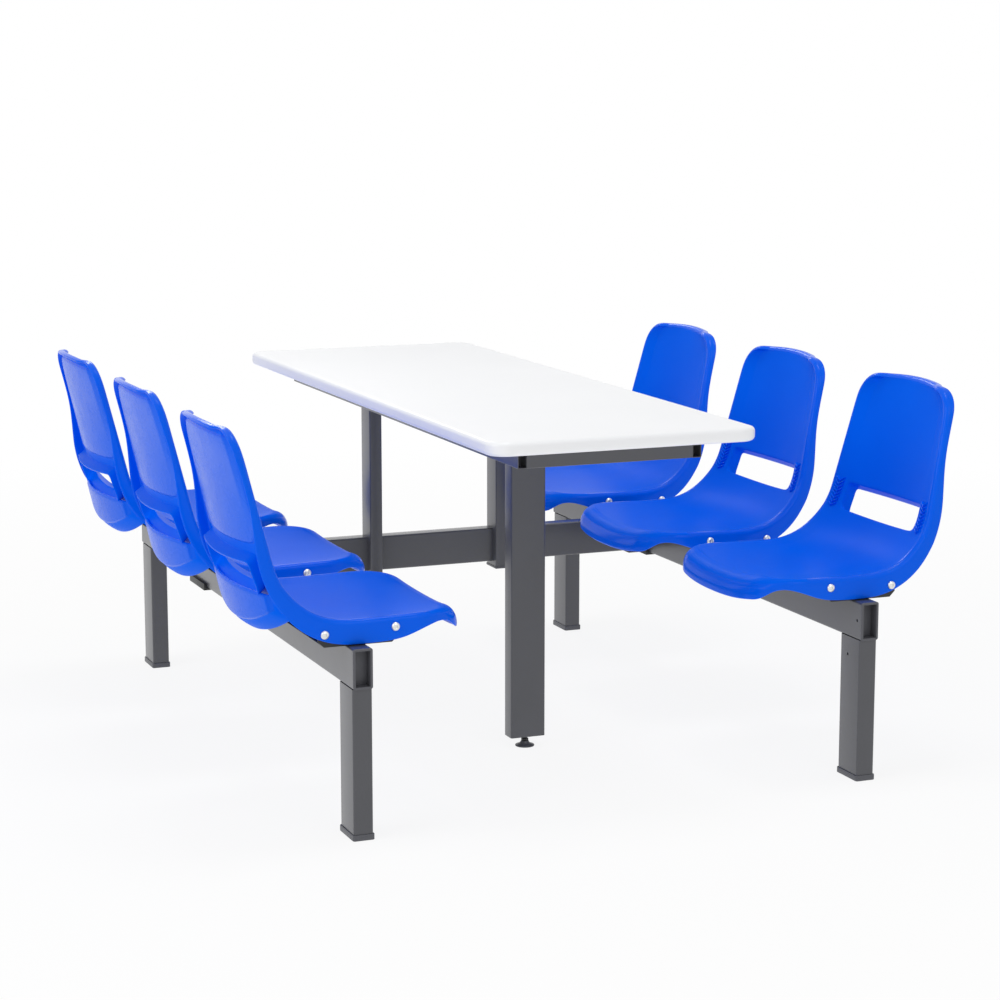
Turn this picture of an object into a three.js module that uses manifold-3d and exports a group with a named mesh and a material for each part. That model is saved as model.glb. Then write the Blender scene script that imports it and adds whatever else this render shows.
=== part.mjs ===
// Six-seat canteen unit: a fixed table and two rows of moulded shell seats on one welded steel frame.
// Millimetres, +Z up, +X across the table, +Y along it, origin on the floor below the middle of the table.

import * as THREE from "three";
import { mergeVertices } from "three/addons/utils/BufferGeometryUtils.js";
import Module from "manifold-3d";

const wasm = await Module();
wasm.setup();

// Layout
const BENCH_SPACING = 1104;
const SEATS_PER_BENCH = 3;
const SEAT_PITCH = 552;
const SUPPORT_OFFSET = 280;
const CLEARANCE = 0.3;

// Steel tube of the beams, legs, stretcher and near post
const TUBE_HEIGHT = 80;
const TUBE_WIDTH = 40;
const TUBE_WALL = 2;
const TUBE_CORNER = 4;
const BEAM_END_LENGTH = 252;
const BEAM_BOTTOM = 300;
const LEG_INSET = 4;

// Plastic caps on the tube ends
const CAP_FLANGE = 3;
const CAP_PLUG = 14;
const CAP_WALL = 3;
const CAP_RECESS = 10;
const FOOT_BASE = 5;
const FOOT_RIM = 7;
const FOOT_WALL = 2;

// Table top and the rail frame below it
const TABLE_LENGTH = 1626;
const TABLE_WIDTH = 580;
const TABLE_HEIGHT = 760;
const TABLE_THICKNESS = 28;
const TABLE_CORNER = 42;
const TABLE_EDGE_ROUND = 9;
const TABLE_LEDGE_WIDTH = 90;
const RAIL_HEIGHT = 40;
const RAIL_WIDTH = 20;
const RAIL_WALL = 1.5;
const RAIL_SCREW_HOLE = 5;
const RAIL_SCREW_ROWS = [-0.4, -0.14, 0.14, 0.4];

// Far posts and the saddles that tie the stretcher to the beams
const POST_SPACING = 314;
const POST_DEPTH = 60;
const POST_WIDTH = 30;
const POST_DROP = 10;
const POST_CAP = 5;
const SADDLE_LENGTH = 120;
const SADDLE_WALL = 6;
const SADDLE_LIP = 9;
const SADDLE_TONGUE = 34;

// Levelling glide of the near post
const POST_GROUND_GAP = 24;
const PLUG_HEIGHT = 30;
const STEM_RADIUS = 5;
const STEM_LENGTH = 70;
const BALL_RADIUS = 6;
const BALL_HEIGHT = 7;
const NUT_RADIUS = 8;
const NUT_SIDES = 6;
const NUT_HEIGHT = 5;
const PAD_RADIUS = 21;
const PAD_RIM = 3;
const PAD_NECK_RADIUS = 9;
const PAD_HEIGHT = 12;
const PAD_FLOOR = 4;

// Seat shell in side view, measured from the middle of the beam's top face, front towards the table
const PAN_HEIGHT = 50;
const PAN_TILT = THREE.MathUtils.degToRad(1);
const PAN_LENGTH = 325;
const SEAT_CORNER = 133;
const BEND_RADIUS = 150;
const BACK_RECLINE = THREE.MathUtils.degToRad(13);
const BACK_LENGTH = 380;

// Seat shell seen from the front and from above
const PAN_HALF_WIDTH = 211;
const TOP_HALF_WIDTH = 174;
const FRONT_CORNER = 60;
const FRONT_BOW = 8;
const TOP_CORNER = 52;
const PAN_DISH = 11;
const BACK_DISH = 20;
const DISH_RUN = 120;
const FRONT_DISH_SHARE = 0.9;
const DISH_POWER = 2.5;
const WING_START = 0.8;
const WING_RISE = 0.4;
const SHELL_THICKNESS = 4.5;

// Turned-down edge of the seat shell
const EDGE_RADIUS = 11;
const FRONT_EDGE_RADIUS = 38;
const FRONT_LIP_DEPTH = 49;
const NOTCH_RUN = 15;
const NOTCH_DEPTH = 20;
const SKIRT_RUN = 118;
const SKIRT_DEPTH = 49;
const BACK_FLANGE_DEPTH = 30;
const TOP_LIP_DEPTH = 19;
const WAIST_DROP = 120;
const BACK_FLANGE_WAIST = 16;

// Slot between pan and back
const SLOT_HEIGHT = 150;
const SLOT_HALF_WIDTH = 148;
const SLOT_OPENING = 55;
const SLOT_CORNER = 12;
const SLOT_RIM_DEPTH = 20;
const SLOT_RIM_WALL = 4;

// Apron that hangs behind the bend, below the slot
const APRON_BOTTOM = 8;
const APRON_SETBACK = 151;
const APRON_RISE = 40;

// Seat bracket and its bolts
const BRACKET_REAR = -78;
const BRACKET_FRONT = 94;
const BRACKET_THICKNESS = 4;
const BRACKET_HEIGHT = 38;
const BRACKET_REAR_CHAMFER = 12;
const BRACKET_FRONT_CHAMFER = 22;
const BOLT_SPACING = 143;
const BOLT_MIDDLE = 5.5;
const BOLT_HEIGHT = 26;
const BOLT_RISE = 5;
const BOLT_RADIUS = 4;
const BOLT_HEAD_RADIUS = 8;
const BOLT_HEAD_RIM = 2;
const BOLT_HEAD_HEIGHT = 5.5;
const NUT_STRIP_HEIGHT = 18;
const NUT_STRIP_MARGIN = 12;

// Facets
const CORNER_STEPS = 3;
const PAN_STEPS = 3;
const BEND_STEPS = 5;
const BACK_STEPS = 2;
const SEAT_COLUMNS = [-1, -WING_START, -WING_START / 2, 0, WING_START / 2, WING_START, 1];
const EDGE_STEPS = 3;
const BOLT_SEGMENTS = 8;
const STEM_SEGMENTS = 12;
const PAD_SEGMENTS = 24;
const TABLE_CORNER_STEPS = 4;
const TABLE_EDGE_STEPS = 2;
const MERGE_DISTANCE = 1e-3;

// Heights and lengths that several pieces share
const BEAM_LENGTH = (SEATS_PER_BENCH - 1) * SEAT_PITCH + 2 * BEAM_END_LENGTH;
const BEAM_TOP = BEAM_BOTTOM + TUBE_HEIGHT;
const RAIL_TOP = TABLE_HEIGHT - TABLE_THICKNESS;
const RAIL_BOTTOM = RAIL_TOP - RAIL_HEIGHT;
const RAIL_SPAN = TABLE_WIDTH - 2 * TABLE_LEDGE_WIDTH;
const RAIL_LENGTH = TABLE_LENGTH - 2 * TABLE_LEDGE_WIDTH;
const POST_Y = SUPPORT_OFFSET + TUBE_WIDTH / 2 - POST_DEPTH / 2;
const SKIRT_HALF_WIDTH = PAN_HALF_WIDTH + EDGE_RADIUS;
const BRACKET_HALF_WIDTH = SKIRT_HALF_WIDTH - SHELL_THICKNESS - CLEARANCE;
const NUT_STRIP_FACE = BRACKET_HALF_WIDTH - BRACKET_THICKNESS - CLEARANCE;

// Finishes
const finish = (color, roughness, metalness) =>
  new THREE.MeshStandardMaterial({ color, roughness, metalness });
const greySteel = () => finish("#4a4b50", 0.5, 0.3);
const blackSteel = () => finish("#17181a", 0.5, 0.2);
const blackPlastic = () => finish("#1b1c1e", 0.6, 0);
const whiteLaminate = () => finish("#f7f8fa", 0.3, 0);
const bluePlastic = () => finish("#0a50e0", 0.35, 0);
const zincSteel = () => finish("#d9dadb", 0.3, 0.8);

const unit = new THREE.Group();
unit.name = "canteen_unit";

function add(name, geometry, material, position, parent = unit) {
  const mesh = new THREE.Mesh(geometry, material);
  mesh.name = name;
  mesh.position.set(...position);
  parent.add(mesh);
  return mesh;
}

// A closed geometry as a solid that can be cut and joined
function toSolid(geometry) {
  const bare = geometry.clone();
  bare.deleteAttribute("normal");
  bare.deleteAttribute("uv");
  const merged = mergeVertices(bare, MERGE_DISTANCE);
  const vertProperties = merged.attributes.position.array;
  const triVerts = new Uint32Array(merged.index.array);
  return new wasm.Manifold(new wasm.Mesh({ numProp: 3, vertProperties, triVerts }));
}

function toGeometry(solid) {
  const mesh = solid.getMesh();
  const geometry = new THREE.BufferGeometry();
  geometry.setAttribute("position", new THREE.BufferAttribute(mesh.vertProperties, 3));
  geometry.setIndex(new THREE.BufferAttribute(mesh.triVerts, 1));
  geometry.computeVertexNormals();
  return geometry;
}

function cut(geometry, ...tools) {
  const solid = tools.reduce((rest, tool) => rest.subtract(toSolid(tool)), toSolid(geometry));
  return toGeometry(solid);
}

function join(first, ...others) {
  const solid = others.reduce((sum, other) => sum.add(toSolid(other)), toSolid(first));
  return toGeometry(solid);
}

function boxBetween(low, high) {
  const size = high.map((value, axis) => value - low[axis]);
  const middle = high.map((value, axis) => (value + low[axis]) / 2);
  return new THREE.BoxGeometry(...size).translate(...middle);
}

function roundedRectangle(width, height, radius, shape = new THREE.Shape()) {
  const x = width / 2 - radius;
  const y = height / 2 - radius;
  shape.absarc(x, y, radius, 0, Math.PI / 2);
  shape.absarc(-x, y, radius, Math.PI / 2, Math.PI);
  shape.absarc(-x, -y, radius, Math.PI, 1.5 * Math.PI);
  shape.absarc(x, -y, radius, 1.5 * Math.PI, 2 * Math.PI);
  shape.closePath();
  return shape;
}

function extrude(shape, depth, curveSegments = 1) {
  return new THREE.ExtrudeGeometry(shape, { depth, curveSegments, bevelEnabled: false });
}

// A steel tube along local z, from z = 0
function tube(width, height, length, wall = TUBE_WALL, corner = TUBE_CORNER) {
  const shape = roundedRectangle(width, height, corner);
  const bore = roundedRectangle(width - 2 * wall, height - 2 * wall, corner - wall / 2, new THREE.Path());
  shape.holes.push(bore);
  return extrude(shape, length);
}

const alongX = (geometry) => geometry.rotateY(Math.PI / 2);
const alongY = (geometry) => geometry.rotateX(-Math.PI / 2);

// A turned piece about local z from [radius, height] points that start and end on the axis
function turned(points, segments) {
  const profile = points.map(([radius, height]) => new THREE.Vector2(radius, height));
  return new THREE.LatheGeometry(profile, segments).rotateX(Math.PI / 2);
}

const SIDES = [
  ["left", -1],
  ["right", 1],
];
const ENDS = [
  ["near", -1],
  ["far", 1],
];

function buildBenchFrame() {
  const tubeLength = BEAM_LENGTH - 2 * CAP_FLANGE;
  const legY = BEAM_LENGTH / 2 - LEG_INSET - TUBE_HEIGHT / 2;
  for (const [side, sideSign] of SIDES) {
    const x = (sideSign * BENCH_SPACING) / 2;
    const beam = alongY(tube(TUBE_WIDTH, TUBE_HEIGHT, tubeLength));
    add(`${side}_beam`, beam, greySteel(), [x, -tubeLength / 2, BEAM_BOTTOM + TUBE_HEIGHT / 2]);
    for (const [end, endSign] of ENDS) {
      const leg = tube(TUBE_WIDTH, TUBE_HEIGHT, BEAM_BOTTOM - FOOT_BASE);
      add(`${side}_${end}_leg`, leg, greySteel(), [x, endSign * legY, FOOT_BASE]);
      add(`${side}_${end}_foot`, footCap(), blackPlastic(), [x, endSign * legY, 0]);
      const cap = add(`${side}_${end}_beam_cap`, beamCap(), blackPlastic(), [
        x,
        (endSign * tubeLength) / 2,
        BEAM_BOTTOM + TUBE_HEIGHT / 2,
      ]);
      cap.rotation.x = (-endSign * Math.PI) / 2;
    }
  }
}

// An end cap for a beam: a flange at z = 0 upwards and a plug below it, dished from outside
function beamCap() {
  const plugWidth = TUBE_WIDTH - 2 * TUBE_WALL - 2 * CLEARANCE;
  const plugHeight = TUBE_HEIGHT - 2 * TUBE_WALL - 2 * CLEARANCE;
  const flange = extrude(roundedRectangle(TUBE_WIDTH, TUBE_HEIGHT, TUBE_CORNER), CAP_FLANGE);
  const plug = extrude(roundedRectangle(plugWidth, plugHeight, TUBE_CORNER), CAP_PLUG);
  plug.translate(0, 0, -CAP_PLUG);
  const recess = boxBetween(
    [CAP_WALL - plugWidth / 2, CAP_WALL - plugHeight / 2, CAP_FLANGE - CAP_RECESS],
    [plugWidth / 2 - CAP_WALL, plugHeight / 2 - CAP_WALL, 2 * CAP_FLANGE],
  );
  return cut(join(flange, plug), recess);
}

// A foot cap: a base that the leg stands on and a rim round it
function footCap() {
  const wall = FOOT_WALL + CLEARANCE;
  const width = TUBE_WIDTH + 2 * wall;
  const length = TUBE_HEIGHT + 2 * wall;
  const outer = extrude(roundedRectangle(width, length, TUBE_CORNER), FOOT_BASE + FOOT_RIM);
  const socket = boxBetween(
    [-TUBE_WIDTH / 2 - CLEARANCE, -TUBE_HEIGHT / 2 - CLEARANCE, FOOT_BASE],
    [TUBE_WIDTH / 2 + CLEARANCE, TUBE_HEIGHT / 2 + CLEARANCE, 2 * FOOT_BASE + FOOT_RIM],
  );
  return cut(outer, socket);
}

function buildTable() {
  const outline = roundedRectangle(TABLE_WIDTH, TABLE_LENGTH, TABLE_CORNER);
  const board = new THREE.ExtrudeGeometry(outline, {
    depth: TABLE_THICKNESS - 2 * TABLE_EDGE_ROUND,
    curveSegments: TABLE_CORNER_STEPS,
    bevelThickness: TABLE_EDGE_ROUND,
    bevelSize: TABLE_EDGE_ROUND,
    bevelOffset: -TABLE_EDGE_ROUND,
    bevelSegments: TABLE_EDGE_STEPS,
  });
  add("table_top", board, whiteLaminate(), [0, 0, RAIL_TOP + TABLE_EDGE_ROUND]);

  const railX = RAIL_SPAN / 2 - RAIL_WIDTH / 2;
  for (const [side, sideSign] of SIDES) {
    add(`${side}_rail`, longRail(), greySteel(), [sideSign * railX, 0, RAIL_BOTTOM]);
  }
  const endRailY = RAIL_LENGTH / 2 - RAIL_WIDTH / 2;
  addCrossRail("near_end_rail", RAIL_WIDTH, -endRailY);
  addCrossRail("near_post_rail", TUBE_WIDTH, -SUPPORT_OFFSET);
  addCrossRail("far_post_rail", TUBE_WIDTH, POST_Y);
  addCrossRail("far_end_rail", RAIL_WIDTH, endRailY);
}

// A long rail with welded end plates and screw holes from below, from z = 0
function longRail() {
  const wall = RAIL_WALL;
  const outer = boxBetween(
    [-RAIL_WIDTH / 2, -RAIL_LENGTH / 2, 0],
    [RAIL_WIDTH / 2, RAIL_LENGTH / 2, RAIL_HEIGHT],
  );
  const inner = boxBetween(
    [wall - RAIL_WIDTH / 2, wall - RAIL_LENGTH / 2, wall],
    [RAIL_WIDTH / 2 - wall, RAIL_LENGTH / 2 - wall, RAIL_HEIGHT - wall],
  );
  const holes = RAIL_SCREW_ROWS.map((row) => {
    const hole = new THREE.CylinderGeometry(RAIL_SCREW_HOLE, RAIL_SCREW_HOLE, 4 * wall, BOLT_SEGMENTS);
    return hole.rotateX(Math.PI / 2).translate(0, row * RAIL_LENGTH, 0);
  });
  return cut(outer, inner, ...holes);
}

function addCrossRail(name, width, y) {
  const length = RAIL_SPAN - 2 * RAIL_WIDTH;
  const rail = alongX(tube(RAIL_HEIGHT, width, length, RAIL_WALL, RAIL_WALL));
  add(name, rail, greySteel(), [-length / 2, y, RAIL_BOTTOM + RAIL_HEIGHT / 2]);
}

function buildNearPost() {
  const post = tube(TUBE_HEIGHT, TUBE_WIDTH, RAIL_BOTTOM - POST_GROUND_GAP);
  add("near_post", post, greySteel(), [0, -SUPPORT_OFFSET, POST_GROUND_GAP]);

  const plugWidth = TUBE_HEIGHT - 2 * TUBE_WALL - 2 * CLEARANCE;
  const plugDepth = TUBE_WIDTH - 2 * TUBE_WALL - 2 * CLEARANCE;
  const plugShape = roundedRectangle(plugWidth, plugDepth, TUBE_CORNER);
  plugShape.holes.push(new THREE.Path().absarc(0, 0, STEM_RADIUS + CLEARANCE, 0, 2 * Math.PI));
  const plug = extrude(plugShape, PLUG_HEIGHT, STEM_SEGMENTS / 2);
  add("near_post_plug", plug, blackPlastic(), [0, -SUPPORT_OFFSET, POST_GROUND_GAP]);

  add("levelling_stem", levellingStem(), blackSteel(), [0, -SUPPORT_OFFSET, 0]);
  add("levelling_pad", levellingPad(), blackPlastic(), [0, -SUPPORT_OFFSET, 0]);
}

// A threaded stem with a round foot in the pad and a nut above it
function levellingStem() {
  const foot = PAD_FLOOR + CLEARANCE;
  const profile = [
    [0, foot],
    [BALL_RADIUS, foot],
    [BALL_RADIUS, foot + BALL_HEIGHT],
    [STEM_RADIUS, foot + BALL_HEIGHT],
    [STEM_RADIUS, foot + STEM_LENGTH],
    [0, foot + STEM_LENGTH],
  ];
  const stem = turned(profile, STEM_SEGMENTS);
  const nut = new THREE.CylinderGeometry(NUT_RADIUS, NUT_RADIUS, NUT_HEIGHT, NUT_SIDES);
  nut.rotateX(Math.PI / 2).translate(0, 0, PAD_HEIGHT + CLEARANCE + NUT_HEIGHT / 2);
  return join(stem, nut);
}

function levellingPad() {
  const socket = BALL_RADIUS + CLEARANCE;
  const profile = [
    [0, 0],
    [PAD_RADIUS, 0],
    [PAD_RADIUS, PAD_RIM],
    [PAD_NECK_RADIUS, PAD_HEIGHT],
    [socket, PAD_HEIGHT],
    [socket, PAD_FLOOR],
    [0, PAD_FLOOR],
  ];
  return turned(profile, PAD_SEGMENTS);
}

function buildFarSupport() {
  const postX = POST_SPACING / 2;
  const beamFace = BENCH_SPACING / 2 - TUBE_WIDTH / 2;
  const postFace = postX + POST_WIDTH / 2;
  const postBottom = BEAM_BOTTOM - POST_DROP;
  const middleZ = BEAM_BOTTOM + TUBE_HEIGHT / 2;
  const addStretcher = (name, from, to) => {
    const stretcher = alongX(tube(TUBE_HEIGHT, TUBE_WIDTH, to - from));
    add(name, stretcher, greySteel(), [from, SUPPORT_OFFSET, middleZ]);
  };
  addStretcher("left_stretcher", -beamFace, -postFace);
  addStretcher("middle_stretcher", POST_WIDTH - postFace, postFace - POST_WIDTH);
  addStretcher("right_stretcher", postFace, beamFace);
  for (const [side, sideSign] of SIDES) {
    const x = sideSign * postX;
    const post = tube(POST_WIDTH, POST_DEPTH, RAIL_BOTTOM - postBottom);
    add(`${side}_post`, post, greySteel(), [x, POST_Y, postBottom]);
    const cap = extrude(roundedRectangle(POST_WIDTH, POST_DEPTH, TUBE_CORNER), POST_CAP);
    add(`${side}_post_cap`, cap, blackPlastic(), [x, POST_Y, postBottom - POST_CAP]);
    const saddle = add(`${side}_saddle`, beamSaddle(), blackSteel(), [
      (sideSign * BENCH_SPACING) / 2,
      SUPPORT_OFFSET,
      BEAM_BOTTOM,
    ]);
    saddle.rotation.z = sideSign > 0 ? Math.PI : 0;
  }
}

// A shallow channel under a beam, cut for the stretcher and with a tongue below it towards +x
function beamSaddle() {
  const inside = TUBE_WIDTH / 2 + CLEARANCE;
  const outside = inside + SADDLE_WALL;
  const channel = boxBetween(
    [-outside, -SADDLE_LENGTH / 2, -SADDLE_WALL],
    [outside, SADDLE_LENGTH / 2, SADDLE_LIP],
  );
  const tongue = boxBetween(
    [0, -TUBE_WIDTH / 2, -SADDLE_WALL],
    [inside + SADDLE_TONGUE, TUBE_WIDTH / 2, 0],
  );
  const beamSpace = boxBetween([-inside, -SADDLE_LENGTH, 0], [inside, SADDLE_LENGTH, 2 * SADDLE_LIP]);
  const stretcherHalf = TUBE_WIDTH / 2 + CLEARANCE;
  const stretcherSpace = boxBetween([0, -stretcherHalf, 0], [2 * outside, stretcherHalf, 2 * SADDLE_LIP]);
  return join(cut(channel, beamSpace, stretcherSpace), tongue);
}

// Smooth step from one value to another between two distances
function ease(distance, from, to, startValue, endValue) {
  const share = THREE.MathUtils.smoothstep(distance, from, to);
  return THREE.MathUtils.lerp(startValue, endValue, share);
}

// Edge line of the seat in side view: the pan from the front, the bend, then the back to the top
const seatLine = (() => {
  const panDirection = new THREE.Vector2(Math.cos(PAN_TILT), Math.sin(PAN_TILT));
  const backDirection = new THREE.Vector2(-Math.sin(BACK_RECLINE), Math.cos(BACK_RECLINE));
  const corner = new THREE.Vector2(-SEAT_CORNER, PAN_HEIGHT - SEAT_CORNER * Math.tan(PAN_TILT));
  const halfAngle = (Math.PI / 2 + BACK_RECLINE - PAN_TILT) / 2;
  const tangentLength = BEND_RADIUS / Math.tan(halfAngle);
  const middle = new THREE.Vector2(Math.cos(PAN_TILT + halfAngle), Math.sin(PAN_TILT + halfAngle));
  const centre = corner.clone().addScaledVector(middle, BEND_RADIUS / Math.sin(halfAngle));
  const front = corner.clone().addScaledVector(panDirection, PAN_LENGTH);
  const bendStart = corner.clone().addScaledVector(panDirection, tangentLength);
  const top = corner.clone().addScaledVector(backDirection, BACK_LENGTH);
  const startAngle = PAN_TILT - Math.PI / 2;
  const endAngle = BACK_RECLINE - Math.PI;
  const path = new THREE.Path();
  path.moveTo(front.x, front.y);
  path.lineTo(bendStart.x, bendStart.y);
  path.absarc(centre.x, centre.y, BEND_RADIUS, startAngle, endAngle, true);
  path.lineTo(top.x, top.y);
  const bendFrom = PAN_LENGTH - tangentLength;
  const bendTo = bendFrom + BEND_RADIUS * (startAngle - endAngle);
  return { path, bendFrom, bendTo, length: bendTo + BACK_LENGTH - tangentLength };
})();

// Distances along the edge line where the shell has a row of points, with each row's corner rounding
function seatRows() {
  const { bendFrom, bendTo, length } = seatLine;
  const rows = [];
  const addCorner = (radius, place) => {
    for (let step = 0; step <= CORNER_STEPS; step++) {
      const angle = (step / CORNER_STEPS) * (Math.PI / 2);
      const inset = radius * (1 - Math.sin(angle));
      rows.push({ distance: place(radius * (1 - Math.cos(angle))), inset, angle });
    }
  };
  const addStraight = (from, to, steps) => {
    for (let step = 1; step <= steps; step++) {
      const distance = THREE.MathUtils.lerp(from, to, step / steps);
      rows.push({ distance, inset: 0, angle: Math.PI / 2 });
    }
  };
  addCorner(FRONT_CORNER, (run) => run);
  addStraight(FRONT_CORNER, bendFrom, PAN_STEPS);
  addStraight(bendFrom, bendTo, BEND_STEPS);
  addStraight(bendTo, length - TOP_CORNER, BACK_STEPS);
  const topStart = rows.length;
  addCorner(TOP_CORNER, (run) => length - run);
  const topRows = rows.splice(topStart).reverse().slice(1);
  return [...rows, ...topRows];
}

// Half the width of the shell's face at a distance along the edge line
function faceHalfWidth(distance) {
  const bendMiddle = (seatLine.bendFrom + seatLine.bendTo) / 2;
  const share = THREE.MathUtils.clamp((distance - bendMiddle) / (seatLine.length - bendMiddle), 0, 1);
  return THREE.MathUtils.lerp(PAN_HALF_WIDTH, TOP_HALF_WIDTH, share);
}

// How far the middle of the shell's face lies behind its edges
function faceDish(distance) {
  const bendMiddle = (seatLine.bendFrom + seatLine.bendTo) / 2;
  const depth = ease(distance, bendMiddle, seatLine.length, PAN_DISH, BACK_DISH);
  return depth * ease(distance, 0, DISH_RUN, FRONT_DISH_SHARE, 1);
}

// The share of the dish across the face: round on the pan, a flat panel with two wings on the back
function faceHollow(distance, across) {
  const reach = Math.abs(across);
  const pan = 1 - reach ** DISH_POWER;
  const panel = 1 - WING_RISE * (reach / WING_START) ** 2;
  const wing = ((1 - WING_RISE) * (1 - reach)) / (1 - WING_START);
  return ease(distance, seatLine.bendFrom, seatLine.bendTo, pan, Math.min(panel, wing));
}

// How far the turned-down edge reaches behind the face at a distance along the edge line
function edgeDepth(distance) {
  const { bendFrom, bendTo, length } = seatLine;
  const waist = length - WAIST_DROP;
  if (distance < NOTCH_RUN) {
    return ease(distance, 0, NOTCH_RUN, FRONT_LIP_DEPTH, NOTCH_DEPTH);
  }
  if (distance < bendFrom) {
    return ease(distance, NOTCH_RUN, SKIRT_RUN, NOTCH_DEPTH, SKIRT_DEPTH);
  }
  if (distance < bendTo) {
    return ease(distance, bendFrom, bendTo, SKIRT_DEPTH, BACK_FLANGE_DEPTH);
  }
  if (distance < waist) {
    return ease(distance, bendTo, waist, BACK_FLANGE_DEPTH, BACK_FLANGE_WAIST);
  }
  return ease(distance, waist, length, BACK_FLANGE_WAIST, TOP_LIP_DEPTH);
}

// Rows of points across the shell's face, with the directions that its turned edge needs
function seatFace() {
  const rows = seatRows();
  return rows.map(({ distance, inset, angle }) => {
    const place = seatLine.path.getPoint(distance / seatLine.length);
    const along = seatLine.path.getTangent(distance / seatLine.length);
    const tangent = new THREE.Vector3(along.x, 0, along.y);
    const normal = new THREE.Vector3(along.y, 0, -along.x);
    const half = faceHalfWidth(distance) - inset;
    const bow = FRONT_BOW * ease(distance, 0, FRONT_CORNER, 1, 0);
    const isFront = distance < seatLine.length / 2;
    const points = SEAT_COLUMNS.map((across) => {
      const hollow = faceHollow(distance, across);
      const point = new THREE.Vector3(place.x, half * across, place.y);
      point.addScaledVector(normal, -faceDish(distance) * hollow);
      return point.addScaledVector(tangent, -bow * hollow);
    });
    return { distance, angle, tangent, normal, isFront, points };
  });
}

// The face's edge points in order round the shell, each with its outward direction
function seatEdge(face) {
  const edge = [];
  const last = face.length - 1;
  const lastColumn = SEAT_COLUMNS.length - 1;
  const visit = (row, column) => {
    const { distance, angle, tangent, normal, isFront } = face[row];
    const outward = tangent.clone().multiplyScalar(isFront ? -Math.cos(angle) : Math.cos(angle));
    if (column === 0) outward.y = -Math.sin(angle);
    if (column === lastColumn) outward.y = Math.sin(angle);
    const radius = isFront ? ease(angle, 0, Math.PI / 3, FRONT_EDGE_RADIUS, EDGE_RADIUS) : EDGE_RADIUS;
    const depth = Math.max(edgeDepth(distance), radius);
    edge.push({ index: row * SEAT_COLUMNS.length + column, outward, normal, radius, depth });
  };
  for (let column = 0; column <= lastColumn; column++) visit(0, column);
  for (let row = 1; row <= last; row++) visit(row, lastColumn);
  for (let column = lastColumn - 1; column >= 0; column--) visit(last, column);
  for (let row = last - 1; row >= 1; row--) visit(row, 0);
  return edge;
}

// A sheet of quads given a thickness behind its face: loop holds the sheet's rim in order
function thicken(points, quads, loop, thickness) {
  const triangles = quads.flatMap(([a, b, c, d]) => [a, b, c, a, c, d]);
  const sheet = new THREE.BufferGeometry().setFromPoints(points);
  sheet.setIndex(triangles);
  sheet.computeVertexNormals();
  const normals = sheet.attributes.normal;
  const behind = points.map((point, index) => {
    const normal = new THREE.Vector3().fromBufferAttribute(normals, index);
    return point.clone().addScaledVector(normal, -thickness);
  });
  const count = points.length;
  const back = quads.flatMap(([a, b, c, d]) => [c, b, a, d, c, a].map((index) => index + count));
  const rim = loop.flatMap((from, place) => {
    const to = loop[(place + 1) % loop.length];
    return [to, from, from + count, to, from + count, to + count];
  });
  const geometry = new THREE.BufferGeometry().setFromPoints([...points, ...behind]);
  geometry.setIndex([...triangles, ...back, ...rim]);
  return geometry;
}

function seatShell() {
  const face = seatFace();
  const edge = seatEdge(face);
  const points = face.flatMap((row) => row.points);
  const quads = [];
  for (let row = 0; row + 1 < face.length; row++) {
    for (let column = 0; column + 1 < SEAT_COLUMNS.length; column++) {
      const here = row * SEAT_COLUMNS.length + column;
      const next = here + SEAT_COLUMNS.length;
      quads.push([here, here + 1, next + 1, next]);
    }
  }
  const faceLoop = edge.map(({ index }) => index);
  const deepFace = thicken(points, quads, faceLoop, SLOT_RIM_DEPTH);

  const edgePoints = [...points];
  const edgeQuads = [...quads];
  let ring = faceLoop;
  for (let step = 1; step <= EDGE_STEPS + 1; step++) {
    const next = edge.map(({ index, outward, normal, radius, depth }) => {
      const turn = (Math.min(step, EDGE_STEPS) / EDGE_STEPS) * (Math.PI / 2);
      const drop = step > EDGE_STEPS ? depth : radius * (1 - Math.cos(turn));
      const point = points[index].clone();
      point.addScaledVector(outward, radius * Math.sin(turn));
      point.addScaledVector(normal, -drop);
      return edgePoints.push(point) - 1;
    });
    ring.forEach((here, place) => {
      const after = (place + 1) % ring.length;
      edgeQuads.push([ring[after], here, next[place], next[after]]);
    });
    ring = next;
  }
  const shell = thicken(edgePoints, edgeQuads, ring, SHELL_THICKNESS);

  const slot = slotPrism(0);
  const rim = toSolid(deepFace).intersect(toSolid(cut(slotPrism(SLOT_RIM_WALL), slot)));
  const slotted = toSolid(join(shell, seatApron())).subtract(toSolid(slot)).add(rim);
  return cut(toGeometry(slotted), ...boltHoles(2 * SKIRT_HALF_WIDTH + EDGE_RADIUS));
}

// A bar through the seat's slot from front to back, grown by a margin all round
function slotPrism(margin) {
  const width = 2 * (SLOT_HALF_WIDTH + margin);
  const height = SLOT_OPENING + 2 * margin;
  const reach = SEAT_CORNER + BACK_LENGTH / 2;
  const outline = roundedRectangle(height, width, SLOT_CORNER + margin);
  return alongX(extrude(outline, reach)).translate(-reach, 0, SLOT_HEIGHT);
}

// A plate below the slot, parallel to the back, with an arc for its lower edge
function seatApron() {
  const half = PAN_HALF_WIDTH;
  const height = (SLOT_HEIGHT - SLOT_OPENING / 2 - APRON_BOTTOM) / Math.cos(BACK_RECLINE);
  const radius = (half ** 2 + APRON_RISE ** 2) / (2 * APRON_RISE);
  const spread = Math.asin(half / radius);
  const outline = new THREE.Shape();
  outline.moveTo(half, height);
  outline.lineTo(-half, height);
  outline.absarc(0, radius, radius, 1.5 * Math.PI - spread, 1.5 * Math.PI + spread);
  outline.closePath();
  const plate = extrude(outline, SHELL_THICKNESS, CORNER_STEPS).rotateX(Math.PI / 2).rotateZ(Math.PI / 2);
  return plate.rotateY(-BACK_RECLINE).translate(-APRON_SETBACK, 0, APRON_BOTTOM);
}

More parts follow.
